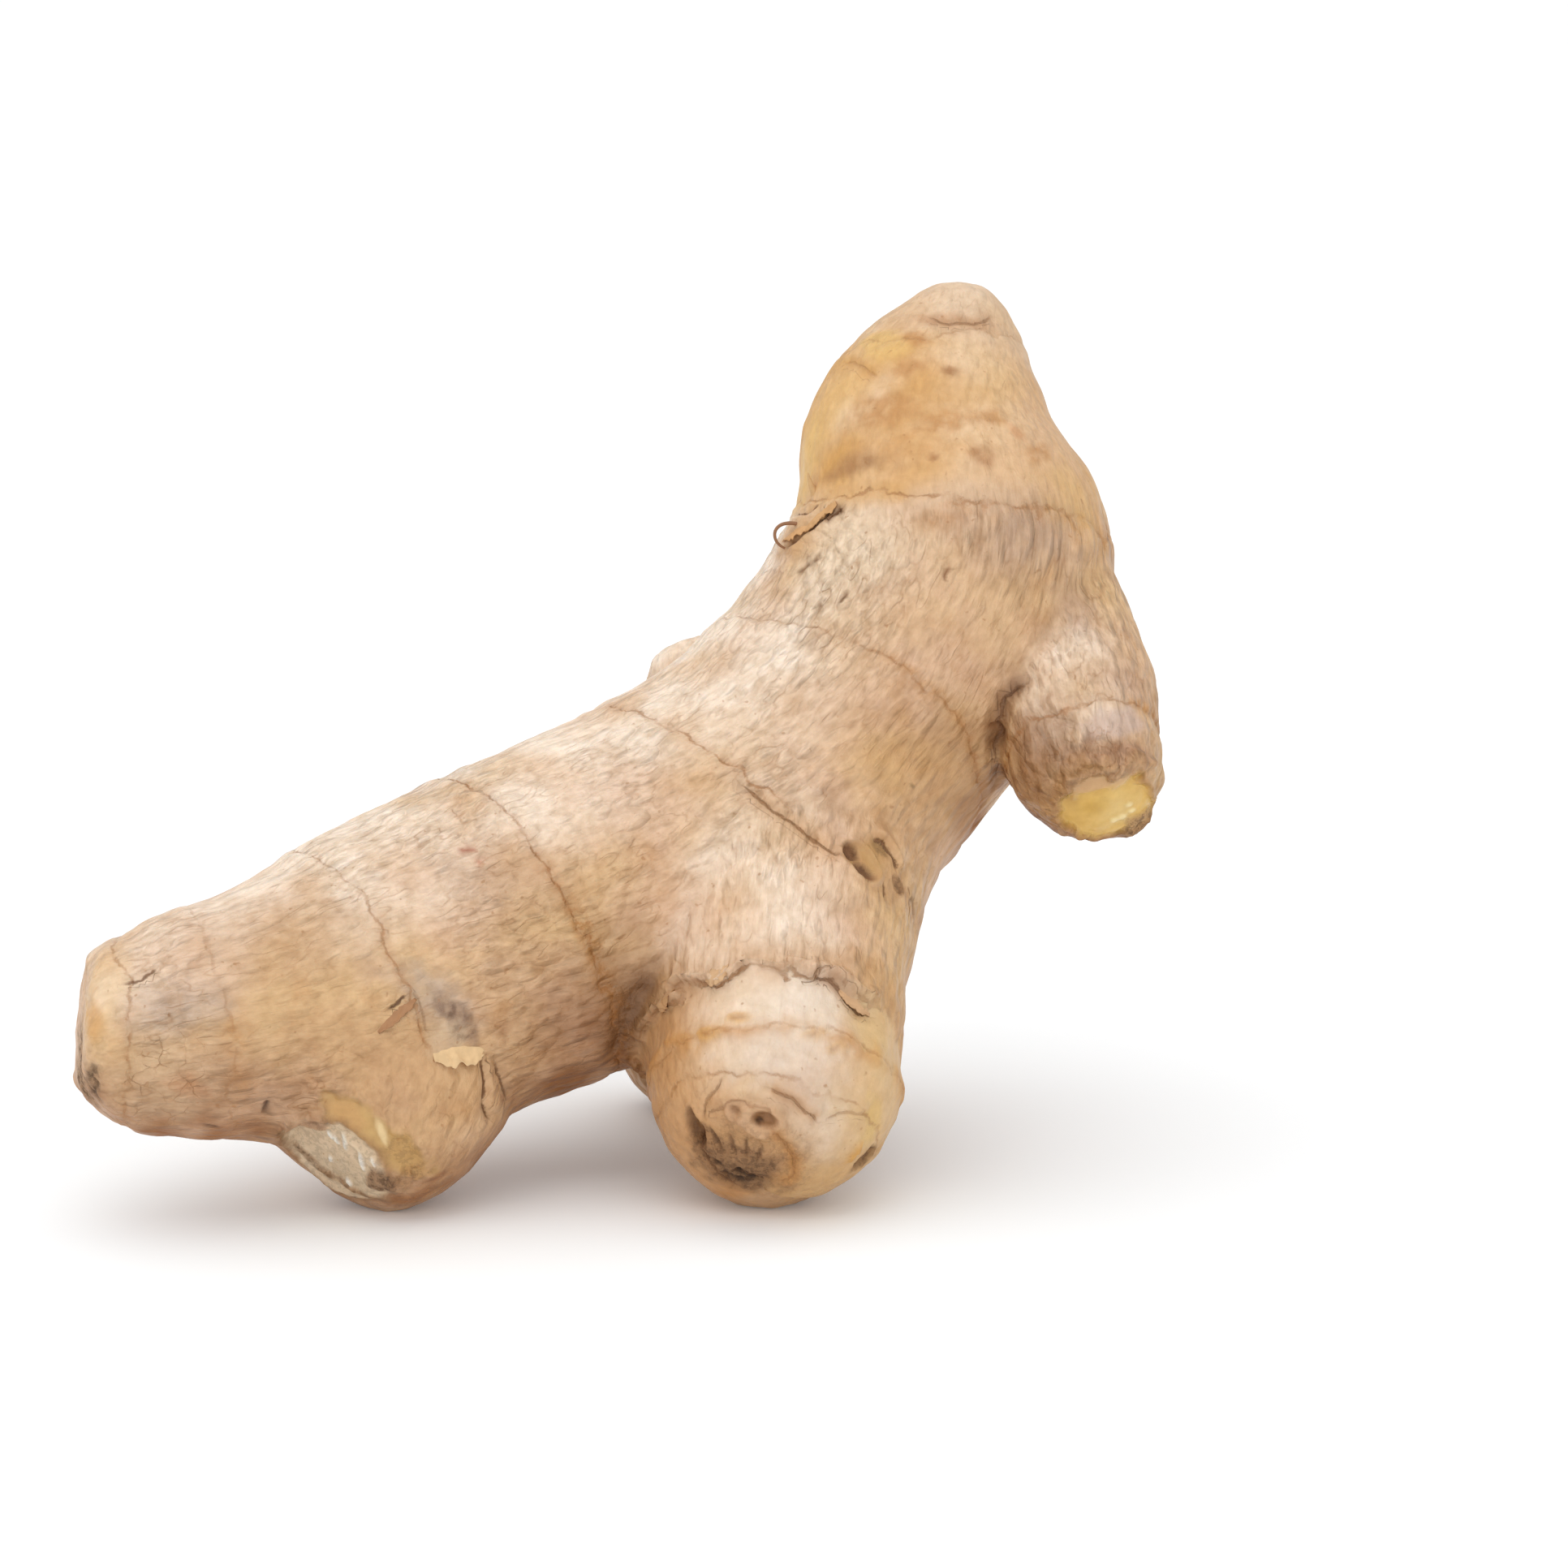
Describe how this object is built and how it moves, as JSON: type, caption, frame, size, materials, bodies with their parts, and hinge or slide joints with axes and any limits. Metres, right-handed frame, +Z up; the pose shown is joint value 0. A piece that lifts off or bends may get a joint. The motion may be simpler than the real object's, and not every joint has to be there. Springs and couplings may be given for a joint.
{
  "type": "ginger root",
  "caption": "Fresh hand of ginger root: a knobbly branched rhizome with ringed tan skin, a tall cone, a long finger and broken and cut knobs.",
  "frame": {"origin": "on the floor, under the middle of the bounding box", "axes": "+Z up, +X from the long finger's end towards the cone's side, +Y away from the front knob towards the hidden back"},
  "size_m": [0.1326, 0.0788, 0.1087],
  "materials": {
    "skin": "matte to satin, thin pale tan skin with darker rings, wrinkles and a few yellow flesh patches"
  },
  "bodies": {
    "root": {"ginger_rhizome": "skin"}
  },
  "joints": []
}
